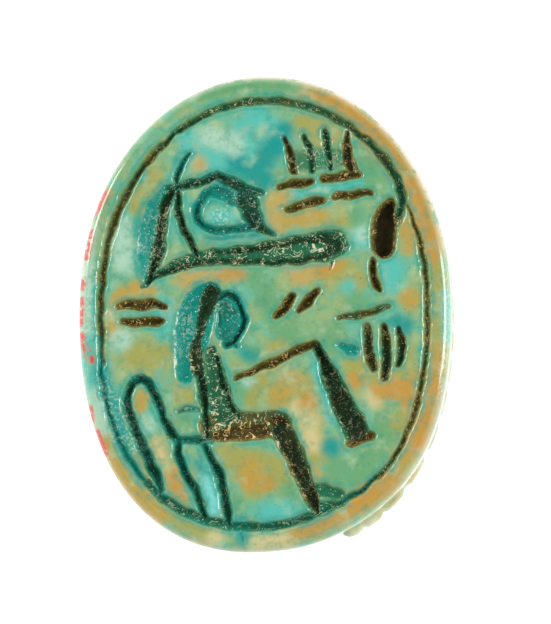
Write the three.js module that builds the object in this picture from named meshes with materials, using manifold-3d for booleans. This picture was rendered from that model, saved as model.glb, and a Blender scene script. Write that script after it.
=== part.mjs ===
// A scarab amulet of glazed steatite: a beetle on an oval plinth, pierced lengthwise for a thread,
// with a picture cut into the flat underside of the plinth, the seal face.
//
// Millimetres, +Z up. The amulet lies on its back: z = 0 is the small worn flat on the wing cases,
// and the seal face looks up at z = height. The beetle's head is at +Y. "Depth" is always measured
// down from the seal face, so a larger depth is nearer the beetle's back.

import * as THREE from "three";
import { mergeVertices } from "three/addons/utils/BufferGeometryUtils.js";
import Module from "manifold-3d";

// ---------------------------------------------------------------- driving sizes

const plinthLength = 16.8;
const plinthWidth = 13.1;
const height = 7.6; // seal face to the flat on the back
const plinthThickness = 1.5;
const edgeRound = 0.4; // the softened rim of the seal face
const roundSteps = 3;
const headOver = 0.12; // how far the head reaches past the plinth

const headFullness = 2.05; // exponent of the oval: 2 is an ellipse, more is squarer
const tailFullness = 2.35;

const waistInset = 0.75; // how far the flank between plinth and shell steps in
const eavesDepth = 3.05; // where the shell starts above the legs
const shellHalfWidth = 6.1;
const shellTailReach = 7.95;
const shellHeadReach = 6.5;
const crownOver = 0.1; // how much higher the shell would be without the worn flat

const boreRadius = 0.72;
const boreDepth = 2.4;

const turns = 64; // points round every oval
const full = Math.PI * 2;
const degrees = Math.PI / 180;

// ---------------------------------------------------------------- solids from rings and shapes

const wasm = await Module();
wasm.setup();

function solidOf(geometry) {
  const bare = new THREE.BufferGeometry();
  bare.setAttribute("position", geometry.getAttribute("position"));
  bare.setIndex(geometry.index);
  const merged = mergeVertices(bare, 1e-5);
  const vertProperties = merged.getAttribute("position").array;
  const triVerts = new Uint32Array(merged.index.array);
  return new wasm.Manifold(new wasm.Mesh({ numProp: 3, vertProperties, triVerts }));
}

function geometryOf(solid) {
  const { vertProperties, triVerts } = solid.getMesh();
  const geometry = new THREE.BufferGeometry();
  geometry.setAttribute("position", new THREE.BufferAttribute(vertProperties, 3));
  geometry.setIndex(new THREE.BufferAttribute(triVerts, 1));
  const faceted = geometry.toNonIndexed();
  faceted.computeVertexNormals();
  return faceted;
}

// A closed solid through rings of equally many points. Each ring runs counter-clockwise seen from
// the last ring, looking back towards the first.
function loft(rings) {
  const count = rings[0].length;
  const points = rings.flat();
  const faces = [];
  rings.slice(1).forEach((_, row) => {
    for (let i = 0; i < count; i++) {
      const a = row * count + i;
      const b = row * count + ((i + 1) % count);
      faces.push(a, b, b + count, a, b + count, a + count);
    }
  });
  for (const [start, outward] of [[0, false], [points.length - count, true]]) {
    for (let i = 1; i < count - 1; i++) {
      const near = start + i;
      faces.push(start, ...(outward ? [near, near + 1] : [near + 1, near]));
    }
  }
  return solidOf(new THREE.BufferGeometry().setFromPoints(points).setIndex(faces));
}

const joined = (solids) => solids.reduce((all, next) => all.add(next));

// ---------------------------------------------------------------- ovals and the beetle's shell

const place = (x, y, depth) => new THREE.Vector3(x, y, height - depth);

// Distance from the middle to an oval, which is fuller at the tail end than at the head end.
function ovalReach(angle, halfWidth, headReach, tailReach) {
  const across = Math.abs(Math.cos(angle));
  const along = Math.sin(angle);
  const reach = along > 0 ? headReach : tailReach;
  const fullness = THREE.MathUtils.lerp(tailFullness, headFullness, (along + 1) / 2);
  const sum = (across / halfWidth) ** fullness + (Math.abs(along) / reach) ** fullness;
  return sum ** (-1 / fullness);
}

function ovalRing(depth, halfWidth, headReach, tailReach) {
  return Array.from({ length: turns }, (_, i) => {
    const angle = (i / turns) * full;
    const reach = ovalReach(angle, halfWidth, headReach, tailReach);
    return place(reach * Math.cos(angle), reach * Math.sin(angle), depth);
  });
}

const plinthRing = (depth, inset) =>
  ovalRing(depth, plinthWidth / 2 - inset, plinthLength / 2 - inset, plinthLength / 2 - inset);

// Half sizes of the shell at a share of its rise, 0 at the eaves and 1 at the untouched crown.
// The head end slopes away sooner than the tail and the sides.
function shellSizes(rise) {
  const blunt = 1 - rise ** 2.2;
  const sloping = 1 - rise ** 1.5;
  return [
    shellHalfWidth * blunt ** (1 / 2.4),
    shellHeadReach * sloping ** (1 / 1.7),
    shellTailReach * blunt ** (1 / 2.6),
  ];
}

const shellRise = height + crownOver - eavesDepth;
const flatShare = (height - eavesDepth) / shellRise;

// The point of the shell over a place in plan, found by halving the rise.
function onShell(x, y) {
  const angle = Math.atan2(y, x);
  const wanted = Math.hypot(x, y);
  let low = 0;
  let high = flatShare;
  for (let step = 0; step < 30; step++) {
    const middle = (low + high) / 2;
    if (ovalReach(angle, ...shellSizes(middle)) > wanted) low = middle;
    else high = middle;
  }
  return place(x, y, eavesDepth + low * shellRise);
}

function shellNormal(x, y) {
  const nudge = 0.05;
  const along = onShell(x, y + nudge).sub(onShell(x, y - nudge));
  const across = onShell(x + nudge, y).sub(onShell(x - nudge, y));
  return along.cross(across).normalize();
}

// ---------------------------------------------------------------- plinth, waist and shell

function body() {
  const shellRows = [flatShare, 0.94, 0.87, 0.78, 0.67, 0.54, 0.39, 0.22, 0.07, 0];
  const shell = shellRows.map((rise) =>
    ovalRing(eavesDepth + rise * shellRise, ...shellSizes(rise)),
  );
  const waist = [eavesDepth - 0.12, plinthThickness + 0.1].map((depth) =>
    ovalRing(
      depth,
      plinthWidth / 2 - waistInset,
      shellHeadReach - 0.4,
      plinthLength / 2 - waistInset,
    ),
  );
  const upperEdge = [plinthRing(plinthThickness, 0.1), plinthRing(plinthThickness - 0.12, 0)];
  const rim = [];
  for (let step = 0; step <= roundSteps; step++) {
    const turn = (step / roundSteps) * (Math.PI / 2);
    rim.push(plinthRing(edgeRound * (1 - Math.sin(turn)), edgeRound * (1 - Math.cos(turn))));
  }
  return loft([...shell, ...waist, ...upperEdge, ...rim]);
}

// ---------------------------------------------------------------- head, cut in plan and in profile

function outline(points) {
  return new THREE.Shape(points.map(([x, y]) => new THREE.Vector2(x, y)));
}

function head() {
  const neckY = 4.4;
  const tipY = plinthLength / 2 + headOver;
  const halfPlan = [
    [2.7, neckY],
    [3.05, 5.9],
    [3.1, 6.45],
    [2.7, 6.95],
    [2.05, 7.15],
    [1.85, 7.6],
    [1.5, tipY - 0.45],
  ];
  // The shovel's front edge carries four teeth, two each side of the middle notch.
  const teeth = [
    [1.42, tipY - 0.12],
    [1.0, tipY - 0.04],
    [0.85, tipY - 0.24],
    [0.68, tipY],
    [0.22, tipY],
  ];
  const right = [...halfPlan, ...teeth];
  const left = right.map(([x, y]) => [-x, y]).reverse();
  const plan = new THREE.ExtrudeGeometry(outline([...right, [0, tipY - 0.28], ...left]), {
    depth: 6,
    bevelEnabled: false,
  });

  const insidePlinth = plinthThickness - 0.1;
  const profile = [
    [neckY, insidePlinth],
    [7.35, insidePlinth],
    [7.5, 3.05],
    [tipY, 3.15],
    [tipY, 3.5],
    [7.9, 3.8],
    [7.1, 4.1],
    [6.5, 4.45],
    [5.9, 4.7],
    [neckY, 5.5],
  ];
  const side = new THREE.ExtrudeGeometry(outline(profile.map(([y, depth]) => [y, height - depth])), {
    depth: 8,
    bevelEnabled: false,
  });
  side.translate(0, 0, -4);
  side.applyMatrix4(
    new THREE.Matrix4().makeBasis(
      new THREE.Vector3(0, 1, 0),
      new THREE.Vector3(0, 0, 1),
      new THREE.Vector3(1, 0, 0),
    ),
  );
  return solidOf(plan).intersect(solidOf(side));
}

// ---------------------------------------------------------------- V grooves over the surface

// A cutter that leaves a V groove along points of a surface with those outward normals.
function grooveCutter(points, normals, halfWidth, cut) {
  const lift = 0.3;
  const spread = (halfWidth * (cut + lift)) / cut;
  return loft(
    points.map((point, i) => {
      const before = points[Math.max(i - 1, 0)];
      const after = points[Math.min(i + 1, points.length - 1)];
      const along = after.clone().sub(before).normalize();
      const sideways = along.cross(normals[i]).normalize();
      const top = point.clone().addScaledVector(normals[i], lift);
      return [
        top.clone().addScaledVector(sideways, -spread),
        top.clone().addScaledVector(sideways, spread),
        point.clone().addScaledVector(normals[i], -cut),
      ];
    }),
  );
}

// The same along a line drawn in plan on the shell.
function shellGroove(plan, steps, halfWidth, cut) {
  const places = Array.from({ length: steps + 1 }, (_, i) => plan(i / steps));
  return grooveCutter(
    places.map(([x, y]) => onShell(x, y)),
    places.map(([x, y]) => shellNormal(x, y)),
    halfWidth,
    cut,
  );
}

const line = (from, to) => (t) => [
  THREE.MathUtils.lerp(from[0], to[0], t),
  THREE.MathUtils.lerp(from[1], to[1], t),
];

const thoraxLineY = 2.1; // where the thorax meets the wing cases, on the middle line

function shellLines() {
  const sutureOffset = 0.17; // the wing cases meet in a double line
  const tailY = -shellTailReach + 0.12;
  const lines = [
    shellGroove((t) => {
      const x = THREE.MathUtils.lerp(-5.75, 5.75, t);
      return [x, thoraxLineY - 0.014 * x * x];
    }, 22, 0.17, 0.24),
  ];
  for (const side of [-1, 1]) {
    const suture = side * sutureOffset;
    lines.push(shellGroove(line([suture, thoraxLineY], [suture, tailY]), 14, 0.09, 0.16));
    // A small V nicked into each shoulder of the wing cases.
    const shoulder = [side * 3.5, 0.85];
    for (const inner of [2.75, 4.25]) {
      const from = [side * inner, thoraxLineY - 0.014 * inner * inner];
      lines.push(shellGroove(line(from, shoulder), 3, 0.12, 0.18));
    }
  }
  return joined(lines);
}

// The lines that set the cheeks off from the shovel, and the shovel from the brow.
function headLines() {
  const outward = new THREE.Vector3(0, 0.55, -1).normalize();
  const corner = (side) => place(side * 1.05, 7.0, 4.13);
  const cheeks = [-1, 1].map((side) =>
    grooveCutter([place(side * 2.3, 5.9, 4.68), corner(side)], [outward, outward], 0.13, 0.2),
  );
  const shovel = [-1, 1].map((side) =>
    grooveCutter([corner(side), place(side * 1.9, 7.55, 3.93)], [outward, outward], 0.12, 0.18),
  );
  const brow = grooveCutter([corner(-1), corner(1)], [outward, outward], 0.12, 0.18);
  return joined([...cheeks, ...shovel, brow]);
}

// ---------------------------------------------------------------- legs

// A point of the flank: an angle in plan, a depth, and how far inside the plinth's outline.
function onFlank(angle, depth, inset) {
  const half = plinthLength / 2 - inset;
  const reach = ovalReach(angle, plinthWidth / 2 - inset, half, half);
  return place(reach * Math.cos(angle), reach * Math.sin(angle), depth);
}

function flankNormal(angle, inset) {
  const nudge = 0.01;
  const along = onFlank(angle + nudge, 0, inset).sub(onFlank(angle - nudge, 0, inset));
  return along.cross(new THREE.Vector3(0, 0, 1)).normalize();
}

const legInset = 0.47; // of a leg's middle line, so that its outside is just proud of the plinth
const legOut = 0.5; // half its thickness out of the flank
const legHigh = 0.44; // half its height along the flank

// Each leg follows stations of [degrees from +X, depth]; hairs are the nicks along its outside.
const legs = {
  front: { stations: [[34, 3.0], [44, 2.6], [56, 2.2], [66, 2.02]], hairs: 4 },
  middle: { stations: [[20, 2.95], [8, 2.55], [-6, 2.12]], hairs: 3 },
  hind: { stations: [[2, 3.0], [-16, 2.75], [-36, 2.35], [-56, 2.15], [-69, 2.1]], hairs: 7 },
};

function leg({ stations, hairs }, side) {
  const route = new THREE.CatmullRomCurve3(
    stations.map(([angle, depth]) => new THREE.Vector3(angle, depth, 0)),
  );
  const mirrored = (angle) => (side > 0 ? angle : 180 - angle) * degrees;
  const station = (t) => {
    const { x, y } = route.getPointAt(t);
    const angle = mirrored(x);
    return { centre: onFlank(angle, y, legInset), out: flankNormal(angle, legInset) };
  };
  const steps = 2 * stations.length + 1;
  const direction = (t) => {
    const before = station(Math.max(t - 0.02, 0)).centre;
    return station(Math.min(t + 0.02, 1)).centre.sub(before).normalize();
  };
  const rings = Array.from({ length: steps + 1 }, (_, i) => {
    const t = i / steps;
    const { centre, out } = station(t);
    const sideways = direction(t).cross(out).normalize();
    const taper = 0.55 + 0.45 * Math.sin(Math.PI * Math.min(t * 1.15 + 0.1, 1)) ** 0.6;
    return Array.from({ length: 8 }, (_, j) => {
      const turn = ((j + 0.5) / 8) * full;
      return centre
        .clone()
        .addScaledVector(out, Math.cos(turn) * legOut * taper)
        .addScaledVector(sideways, Math.sin(turn) * legHigh * taper);
    });
  });
  const nicks = Array.from({ length: hairs }, (_, i) => {
    const t = 0.16 + (0.76 * (i + 0.5)) / hairs;
    const { centre, out } = station(t);
    const along = direction(t);
    const sideways = along.clone().cross(out).normalize();
    const face = centre.clone().addScaledVector(out, legOut * 0.95);
    const ends = [-1, 1].map((end) =>
      face.clone().addScaledVector(sideways, end * 0.62).addScaledVector(along, end * side * 0.16),
    );
    return grooveCutter(ends, [out, out], 0.13, 0.2);
  });
  return { solid: loft(rings), nicks: joined(nicks) };
}

// ---------------------------------------------------------------- the picture on the seal face

// A gouge is [cut, ...stations], each station [x, y, half width]. Seen from above, +Y up.
const lion = [
  [0.3, [-3.2, 4.6, 0.25], [-3.85, 3.3, 0.45], [-3.95, 2.3, 0.48], [-4.1, 1.25, 0.14]],
  [0.34, [-3.3, 4.5, 0.2], [-2.0, 4.7, 0.2], [-1.5, 4.85, 0.2], [-0.9, 4.5, 0.22], [-0.1, 4.2, 0.14]],
  [0.36, [-0.85, 4.25, 0.28], [-0.45, 3.7, 0.4], [-0.25, 3.3, 0.34], [0.35, 2.75, 0.12]],
  [0.3, [-2.2, 4.05, 0.12], [-2.35, 3.4, 0.14], [-1.7, 2.97, 0.16], [-0.4, 3.1, 0.18]],
  [0.22, [-2.1, 4.1, 0.12], [-1.6, 4.15, 0.2], [-1.0, 3.95, 0.14]],
  [0.3, [-3.0, 4.2, 0.12], [-3.0, 3.4, 0.13], [-2.5, 2.4, 0.15], [-2.5, 1.9, 0.13]],
  [0.36, [-4.0, 1.3, 0.1], [-2.6, 1.85, 0.25], [-0.4, 2.08, 0.32], [1.8, 2.25, 0.48], [2.4, 2.3, 0.56],
    [2.9, 2.35, 0.28]],
  [0.24, [-3.05, 4.7, 0.1], [-2.95, 5.2, 0.12], [-2.6, 5.6, 0.06]],
];

const seatedFigure = [
  [0.34, [-1.9, 1.05, 0.2], [-2.15, 0.5, 0.6], [-2.45, -0.4, 0.6], [-2.7, -1.6, 0.45], [-2.8, -2.38, 0.36]],
  [0.3, [-1.6, 0.75, 0.4], [-1.2, 0.0, 0.6], [-1.1, -0.7, 0.56], [-0.85, -1.2, 0.36], [-0.45, -1.32, 0.1]],
  [0.45, [-2.3, -1.0, 0.22], [-2.25, -1.9, 0.28], [-2.1, -2.7, 0.2], [-2.0, -4.3, 0.22]],
  [0.38, [-1.55, -1.6, 0.12], [-1.2, -3.0, 0.14], [-0.75, -3.85, 0.15]],
  [0.2, [-1.9, -1.3, 0.3], [-1.75, -2.4, 0.35], [-1.45, -3.7, 0.42]],
  [0.34, [-2.0, -4.02, 0.48], [-0.6, -3.95, 0.5], [0.75, -3.9, 0.5]],
  [0.42, [0.6, -4.05, 0.42], [1.0, -4.9, 0.36], [1.4, -5.8, 0.31], [1.88, -7.0, 0.22]],
  [0.24, [1.8, -6.4, 0.34], [2.4, -6.42, 0.34], [2.9, -6.45, 0.2]],
];

const chair = [
  [0.38, [-4.85, -2.7, 0.14], [-4.55, -3.9, 0.16], [-3.9, -5.4, 0.18], [-3.5, -6.15, 0.13]],
  [0.36, [-4.9, -2.72, 0.13], [-4.55, -2.38, 0.15], [-4.15, -2.12, 0.13]],
  [0.38, [-4.15, -2.15, 0.14], [-3.7, -3.1, 0.15], [-3.3, -4.1, 0.14], [-2.95, -4.45, 0.13]],
  [0.36, [-3.1, -4.46, 0.13], [-1.9, -4.46, 0.14]],
  [0.36, [-3.0, -4.5, 0.15], [-2.85, -5.2, 0.17], [-2.3, -6.1, 0.16], [-2.0, -7.1, 0.14]],
  [0.4, [-2.15, -4.5, 0.13], [-1.55, -5.7, 0.16], [-1.3, -6.6, 0.17], [-1.25, -7.35, 0.14]],
  [0.15, [-3.05, -3.45, 0.07], [-2.35, -3.38, 0.08]],
];

const flail = [
  [0.3, [-0.95, -2.25, 0.09], [0.6, -1.6, 0.13], [1.8, -1.08, 0.14]],
  [0.48, [1.78, -1.0, 0.14], [2.15, -1.9, 0.27], [2.7, -3.1, 0.44], [3.38, -4.42, 0.54]],
];

// Plain strokes in rows, where the real seal is written on. They spell nothing.
const strokeRows = [
  [0.3, [0.8, 6.05, 0.1], [1.03, 5.4, 0.15], [1.06, 4.85, 0.14]],
  [0.2, [1.55, 6.1, 0.09], [1.75, 5.3, 0.13]],
  [0.2, [2.15, 6.05, 0.1], [2.3, 5.25, 0.13]],
  [0.32, [2.8, 6.15, 0.12], [2.85, 5.5, 0.2], [3.15, 5.1, 0.28]],
  [0.3, [0.7, 4.48, 0.12], [2.0, 4.66, 0.16], [3.45, 4.86, 0.12]],
  [0.28, [0.88, 3.68, 0.11], [2.2, 3.97, 0.15], [3.72, 4.22, 0.11]],
  [0.45, [4.62, 3.95, 0.15], [4.3, 3.4, 0.36], [4.22, 2.1, 0.42]],
  [0.34, [3.82, 1.7, 0.13], [3.82, 1.3, 0.13], [4.02, 0.9, 0.08]],
  [0.34, [-5.1, 0.2, 0.1], [-4.5, 0.25, 0.28], [-3.95, 0.3, 0.3], [-3.5, 0.3, 0.1]],
  [0.3, [-4.95, -0.22, 0.1], [-4.3, -0.3, 0.2], [-3.65, -0.2, 0.1]],
  [0.32, [0.5, -0.1, 0.14], [0.85, 0.25, 0.26], [1.15, 0.6, 0.12]],
  [0.3, [1.2, 0.2, 0.12], [1.6, 0.45, 0.26], [2.15, 0.45, 0.1]],
  [0.26, [2.7, -0.18, 0.09], [3.4, -0.06, 0.12], [4.3, 0.25, 0.09]],
  [0.32, [3.6, -0.6, 0.12], [3.68, -1.3, 0.15], [4.0, -2.0, 0.12]],
  [0.32, [4.4, -0.6, 0.12], [4.5, -1.35, 0.17], [4.3, -2.3, 0.11]],
  [0.16, [2.75, -1.2, 0.16], [3.25, -1.35, 0.24]],
  [0.16, [4.95, -0.8, 0.16], [5.15, -1.05, 0.16]],
];

// The border line, cut in three sweeps that don't quite meet. Its stations are
// [degrees from +X, distance in from the plinth's outline, half width].
const borderSweeps = [
  [[197, 0.82, 0.06], [180, 0.8, 0.12], [150, 0.77, 0.14], [120, 0.84, 0.15], [90, 0.9, 0.16], [65, 0.8, 0.17],
    [50, 0.74, 0.18], [42, 0.82, 0.18]],
  [[37, 0.84, 0.06], [20, 0.82, 0.1], [-10, 0.82, 0.1], [-35, 0.82, 0.12], [-53, 0.86, 0.12]],
  [[-51, 0.9, 0.08], [-75, 0.9, 0.15], [-105, 0.88, 0.16], [-130, 0.74, 0.14], [-150, 0.68, 0.13], [-168, 0.76, 0.1]],
];

function borderGouge(stations) {
  const curve = new THREE.CatmullRomCurve3(stations.map((station) => new THREE.Vector3(...station)));
  const count = 3 * stations.length;
  return Array.from({ length: count + 1 }, (_, i) => {
    const { x, y: inset, z: halfWidth } = curve.getPointAt(i / count);
    const angle = x * degrees;
    const half = plinthLength / 2 - inset;
    const reach = ovalReach(angle, plinthWidth / 2 - inset, half, half);
    return [reach * Math.cos(angle), reach * Math.sin(angle), halfWidth];
  });
}

// The cutter of one gouge: slanting walls and a narrower floor along a smooth line.
function gougeCutter([cut, ...stations]) {
  const lift = 0.2;
  const floorShare = 0.5;
  const curve = new THREE.CatmullRomCurve3(stations.map(([x, y, w]) => new THREE.Vector3(x, y, w)));
  const steps = stations.length > 8 ? stations.length - 1 : Math.round(1.5 * (stations.length - 1)) + 1;
  return loft(
    Array.from({ length: steps + 1 }, (_, i) => {
      const t = i / steps;
      const { x, y, z: halfWidth } = curve.getPoint(t);
      const slope = curve.getTangent(t).setZ(0).normalize();
      const at = (across, depth) => place(x - slope.y * across, y + slope.x * across, depth);
      return [
        at(halfWidth, -lift),
        at(-halfWidth, -lift),
        at(-halfWidth, 0),
        at(-halfWidth * floorShare, cut),
        at(halfWidth * floorShare, cut),
        at(halfWidth, 0),
      ];
    }),
  );
}

function engraving() {
  const borderCut = 0.28;
  const border = borderSweeps.map((sweep) => [borderCut, ...borderGouge(sweep)]);
  const joinToBorder = [borderCut, [4.88, 4.5, 0.17], [4.76, 4.2, 0.17], [4.6, 3.9, 0.16]];
  const gouges = [lion, seatedFigure, chair, flail, strokeRows, border, [joinToBorder]].flat();
  return joined(gouges.map(gougeCutter));
}

// ---------------------------------------------------------------- the whole amulet

function bore() {
  const drill = new THREE.CylinderGeometry(boreRadius, boreRadius, plinthLength + 2, 16);
  drill.translate(0, 0, height - boreDepth);
  return solidOf(drill);
}

function scarab() {
  let solid = body().add(head());
  const sides = [-1, 1].flatMap((side) => Object.values(legs).map((shape) => leg(shape, side)));
  for (const { solid: limb } of sides) solid = solid.add(limb);
  for (const { nicks } of sides) solid = solid.subtract(nicks);
  return solid.subtract(shellLines()).subtract(headLines()).subtract(engraving()).subtract(bore());
}

const glazedSteatite = new THREE.MeshStandardMaterial({
  color: 0x7fbfa6,
  roughness: 0.3,
  metalness: 0,
});

const mesh = new THREE.Mesh(geometryOf(scarab()), glazedSteatite);
mesh.name = "scarab";
mesh.position.y = -headOver / 2; // centres the whole length on the origin

const amulet = new THREE.Group();
amulet.add(mesh);

export default amulet;
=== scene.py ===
import math

import bpy
import numpy as np
from mathutils import Matrix, Vector


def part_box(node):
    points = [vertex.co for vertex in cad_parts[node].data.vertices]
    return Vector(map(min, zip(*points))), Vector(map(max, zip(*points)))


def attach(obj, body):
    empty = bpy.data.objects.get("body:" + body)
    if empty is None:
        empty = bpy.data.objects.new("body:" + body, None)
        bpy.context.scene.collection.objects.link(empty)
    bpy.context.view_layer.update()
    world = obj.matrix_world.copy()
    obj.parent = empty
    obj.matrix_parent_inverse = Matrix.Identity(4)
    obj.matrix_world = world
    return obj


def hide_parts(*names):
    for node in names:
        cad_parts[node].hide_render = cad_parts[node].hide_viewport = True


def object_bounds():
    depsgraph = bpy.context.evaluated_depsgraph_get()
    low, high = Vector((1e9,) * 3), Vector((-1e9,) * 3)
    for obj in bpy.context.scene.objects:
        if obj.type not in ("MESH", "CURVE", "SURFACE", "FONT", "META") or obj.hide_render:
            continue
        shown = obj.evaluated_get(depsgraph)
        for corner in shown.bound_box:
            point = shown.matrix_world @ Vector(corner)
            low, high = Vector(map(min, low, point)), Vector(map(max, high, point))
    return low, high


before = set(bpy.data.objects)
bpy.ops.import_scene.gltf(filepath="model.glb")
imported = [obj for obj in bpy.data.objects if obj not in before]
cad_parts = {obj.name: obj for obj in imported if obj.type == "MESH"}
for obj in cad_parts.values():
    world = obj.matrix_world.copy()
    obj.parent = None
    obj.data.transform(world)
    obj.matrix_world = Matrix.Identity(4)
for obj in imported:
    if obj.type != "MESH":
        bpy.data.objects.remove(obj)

cad_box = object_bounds()
scene = bpy.context.scene

# ------------------------------------------------------------------ table, lamps and camera
# A plain white sheet under soft studio light: a broad window light on either side, equally strong,
# and even light from all round, which keeps the shadow under the amulet faint.

box_low, box_high = cad_box
middle = (box_low + box_high) / 2
span = (box_high - box_low).length

sheet_size = span * 60
bpy.ops.mesh.primitive_plane_add(size=sheet_size, location=(middle.x, middle.y, box_low.z))
table = bpy.context.object
table.name = "table"
paper = bpy.data.materials.new("white paper")
paper.use_nodes = True
paper_shader = paper.node_tree.nodes["Principled BSDF"]
paper_shader.inputs["Base Color"].default_value = (0.93, 0.93, 0.925, 1)
paper_shader.inputs["Roughness"].default_value = 0.9
paper_shader.inputs["Specular IOR Level"].default_value = 0.1
paper_shader.inputs["Emission Color"].default_value = (1, 1, 1, 1)
paper_shader.inputs["Emission Strength"].default_value = 0.38
seen_from_below = paper.node_tree.nodes.new("ShaderNodeNewGeometry").outputs["Backfacing"]
see_through = paper.node_tree.nodes.new("ShaderNodeBsdfTransparent")
either = paper.node_tree.nodes.new("ShaderNodeMixShader")
for source, target in (
    (seen_from_below, either.inputs[0]),
    (paper_shader.outputs[0], either.inputs[1]),
    (see_through.outputs[0], either.inputs[2]),
    (either.outputs[0], paper.node_tree.nodes["Material Output"].inputs["Surface"]),
):
    paper.node_tree.links.new(source, target)
table.data.materials.append(paper)

scene.view_settings.view_transform = "Standard"

# The room is bright all round and dim overhead, so that flat glaze keeps its colour and only the
# edges shine.
room = bpy.data.worlds.new("room light")
room.use_nodes = True
look_up = room.node_tree.nodes.new("ShaderNodeSeparateXYZ")
dimming = room.node_tree.nodes.new("ShaderNodeMapRange")
dimming.interpolation_type = "SMOOTHSTEP"
dims_from, dimmest_at = 0.55, 0.95  # how far up, as the height of a direction one long
light_round, light_overhead = 1.0, 0.18
room_strength = 0.95
for socket, value in ((1, dims_from), (2, dimmest_at), (3, light_round), (4, light_overhead)):
    dimming.inputs[socket].default_value = value
for source, target in (
    (room.node_tree.nodes.new("ShaderNodeTexCoord").outputs["Generated"], look_up.inputs[0]),
    (look_up.outputs["Z"], dimming.inputs[0]),
    (dimming.outputs[0], room.node_tree.nodes["Background"].inputs["Color"]),
):
    room.node_tree.links.new(source, target)
room.node_tree.nodes["Background"].inputs["Strength"].default_value = room_strength
scene.world = room


def add_lamp(name, direction, distance, size, strength):
    lamp = bpy.data.objects.new(name, bpy.data.lights.new(name, "AREA"))
    lamp.data.shape = "RECTANGLE"
    lamp.data.size, lamp.data.size_y = size
    toward = Vector(direction).normalized()
    lamp.location = middle + toward * distance
    lamp.rotation_mode = "QUATERNION"
    lamp.rotation_quaternion = toward.to_track_quat("Z", "Y")
    lamp.data.energy = strength * distance**2
    scene.collection.objects.link(lamp)


window_away, window_size, window_strength = span * 9, (span * 3, span * 4), 5
add_lamp("left window", (-1.0, 0.45, 0.6), window_away, window_size, window_strength)
add_lamp("right window", (1.0, 0.1, 0.6), window_away, window_size, window_strength)

lens = 200
picture_height = 0.0218  # how much of the seal face's plane the picture is high
sensor = 36
lean = math.radians(7.5)
lean_toward = math.radians(-42)
aim = Vector((0.00043, -0.00003, box_high.z))
backward = Vector(
    (
        math.sin(lean) * math.cos(lean_toward),
        math.sin(lean) * math.sin(lean_toward),
        math.cos(lean),
    )
)
camera = bpy.data.objects.new("camera", bpy.data.cameras.new("camera"))
camera.data.lens = lens
camera.data.sensor_width = sensor
camera.location = aim + backward * (picture_height * lens / sensor)
camera.rotation_mode = "QUATERNION"
to_right = Vector((0, 1, 0)).cross(backward).normalized()
picture_axes = Matrix((to_right, backward.cross(to_right), backward)).transposed()
camera.rotation_quaternion = picture_axes.to_quaternion()
camera.data.clip_start = 0.01
camera.data.clip_end = 10
scene.collection.objects.link(camera)
scene.camera = camera

# ------------------------------------------------------------------ the beetle, its legs and plinth
# One pebble of steatite, ground to a beetle on an oval plinth. It lies on its back. All sizes here
# are millimetres, and a depth is measured down from the seal face.

low_corner, high_corner = (np.array(corner) * 1000 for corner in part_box("scarab"))
height = high_corner[2]
head_over = 0.12  # the head reaches this far past the plinth
plinth_middle_y = -head_over / 2
half_length = (high_corner[1] - low_corner[1] - head_over) / 2
half_width = 6.55
rim_round = 0.4
plinth_thickness = 1.5
lower_round = 0.14  # the rounding of the plinth's lower edge
waist_inset = 0.75
eaves_depth = 3.05
shell_half_width, shell_head_reach, shell_tail_reach = 6.1, 6.5, 7.95
shell_rise = height + 0.1 - eaves_depth  # the untouched crown would be 0.1 higher
flat_share = (height - eaves_depth) / shell_rise
head_fullness, tail_fullness = 2.05, 2.35


def step_up(low, high, value):
    """0 below low, 1 above high, and a smooth rise between."""
    t = np.clip((value - low) / (high - low), 0, 1)
    return t * t * (3 - 2 * t)


def oval_reach(angle, across, to_head, to_tail):
    sideways, along = np.abs(np.cos(angle)), np.sin(angle)
    reach = np.where(along > 0, to_head, to_tail)
    fullness = tail_fullness + (head_fullness - tail_fullness) * (along + 1) / 2
    return ((sideways / across) ** fullness + (np.abs(along) / reach) ** fullness) ** (-1 / fullness)


def plinth_reach(angle, inset):
    return oval_reach(angle, half_width - inset, half_length - inset, half_length - inset)


ground_off, ground_at, ground_spread = 0.27, math.radians(-66), math.radians(20)


def edge_reach(angle, inset):
    """The plinth's real edge: its tail end was ground back at one side, where the leg shows past it."""
    off_corner = np.angle(np.exp(1j * (angle - ground_at)))
    return plinth_reach(angle, inset) - ground_off * np.exp(-((off_corner / ground_spread) ** 2))


def shell_reach(angle, rise):
    blunt, sloping = 1 - rise**2.2, 1 - rise**1.5
    return oval_reach(
        angle,
        shell_half_width * blunt ** (1 / 2.4),
        shell_head_reach * sloping ** (1 / 1.7),
        shell_tail_reach * blunt ** (1 / 2.6),
    )


def disc_grid(columns, rows, crowding):
    """Points over the unit disc in a grid, with its columns crowded to the middle, and its rim."""
    u = np.linspace(-1, 1, columns + 1)
    u = u * (1 - crowding + crowding * np.abs(u))
    v = np.linspace(-1, 1, rows + 1)
    across, along = np.meshgrid(u, v)
    a, b = across * np.sqrt(1 - along**2 / 2), along * np.sqrt(1 - across**2 / 2)
    number = np.arange(a.size).reshape(a.shape)
    rim = np.concatenate([number[:-1, -1], number[-1, :0:-1], number[:0:-1, 0], number[0, :-1]])
    squares = np.stack([number[:-1, :-1], number[:-1, 1:], number[1:, 1:], number[1:, :-1]], -1)
    return np.hypot(a, b).ravel(), np.arctan2(b, a).ravel(), rim, squares.reshape(-1, 4)


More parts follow.
